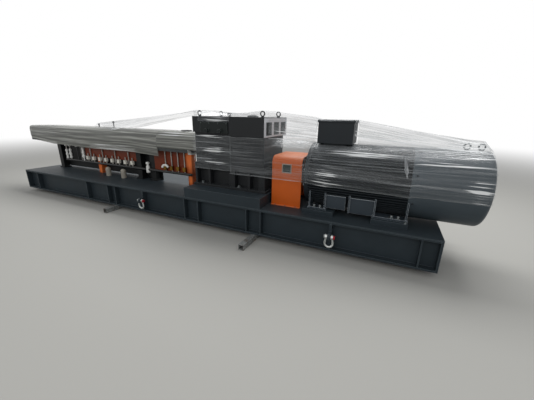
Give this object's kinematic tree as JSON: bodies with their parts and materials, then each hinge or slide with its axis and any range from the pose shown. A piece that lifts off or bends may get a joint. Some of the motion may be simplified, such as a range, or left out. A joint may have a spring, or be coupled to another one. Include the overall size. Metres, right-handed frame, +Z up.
{
  "type": "plastic extruder",
  "caption": "Twin-screw plastic extruder: barrel under a cover, ribbed gearbox, guarded coupling and finned drive motor on a steel base frame with lifting shackles.",
  "frame": {"origin": "on the floor, under the middle of the base frame", "axes": "+X along the machine from the discharge end to the motor, +Y to the back, +Z up"},
  "size_m": [8.888, 2.04, 1.8025],
  "materials": {
    "base_enamel": "satin charcoal enamel",
    "bearer_steel": "bare mill-finish steel tube",
    "galvanised_steel": "hot-dip galvanised",
    "pin_enamel": "red enamel",
    "panel_enamel": "black-green enamel",
    "gearbox_enamel": "charcoal enamel on cast iron",
    "turned_steel": "turned steel",
    "guard_powder_coat": "orange powder coat",
    "motor_enamel": "charcoal enamel on cast fins",
    "barrel_steel": "machined nitrided steel",
    "cover_steel": "grey painted sheet",
    "black_fitting": "black",
    "column_enamel": "black enamel",
    "manifold_powder_coat": "orange powder coat",
    "pipe_steel": "zinc-plated tube",
    "valve_brass": "dull brass",
    "cream_plastic": "cream"
  },
  "bodies": {
    "machine": {"base_beam_front": "base_enamel", "base_beam_back": "base_enamel", "base_end_left": "base_enamel", "base_end_right": "base_enamel", "base_cross_members": "base_enamel", "deck_plate": "base_enamel", "stiffeners_front": "base_enamel", "stiffeners_back": "base_enamel", "bearer_left": "bearer_steel", "bearer_right": "bearer_steel", "lifting_lugs": "base_enamel", "gearbox_pedestal": "base_enamel", "gearbox_lower": "gearbox_enamel", "gearbox_upper": "gearbox_enamel", "gearbox_panels": "panel_enamel", "gearbox_eye_bolts": "gearbox_enamel", "output_lantern": "gearbox_enamel", "coupling": "turned_steel", "coupling_guard": "guard_powder_coat", "motor_frame": "motor_enamel", "motor_end_shield": "motor_enamel", "motor_cowl": "motor_enamel", "motor_feet": "motor_enamel", "motor_sole_plates": "base_enamel", "motor_terminal_box": "motor_enamel", "motor_eye_bolts": "motor_enamel", "barrel": "barrel_steel", "barrel_cover": "cover_steel", "feed_port": "black_fitting", "sensor_stubs": "black_fitting", "barrel_columns": "column_enamel", "water_manifold": "manifold_powder_coat", "water_pipes": "pipe_steel", "pipe_fittings": "cream_plastic", "water_valves": "valve_brass", "deck_rail": "column_enamel", "deck_fittings": "cream_plastic"},
    "shackle_front_left": {"shackle_front_left": "galvanised_steel", "pin_front_left": "pin_enamel"},
    "shackle_front_right": {"shackle_front_right": "galvanised_steel", "pin_front_right": "pin_enamel"},
    "shackle_back_left": {"shackle_back_left": "galvanised_steel", "pin_back_left": "pin_enamel"},
    "shackle_back_right": {"shackle_back_right": "galvanised_steel", "pin_back_right": "pin_enamel"}
  },
  "joints": [
    {"name": "swing_front_left", "type": "hinge", "parent": "machine", "child": "shackle_front_left", "pos_m": [-0.45, -0.686, 0.288], "axis": [-1, 0, 0], "range_deg": [-5, 170]},
    {"name": "swing_front_right", "type": "hinge", "parent": "machine", "child": "shackle_front_right", "pos_m": [2.835, -0.686, 0.288], "axis": [-1, 0, 0], "range_deg": [-5, 170]},
    {"name": "swing_back_left", "type": "hinge", "parent": "machine", "child": "shackle_back_left", "pos_m": [-0.45, 0.686, 0.288], "axis": [1, 0, 0], "range_deg": [-5, 170]},
    {"name": "swing_back_right", "type": "hinge", "parent": "machine", "child": "shackle_back_right", "pos_m": [2.835, 0.686, 0.288], "axis": [1, 0, 0], "range_deg": [-5, 170]}
  ]
}
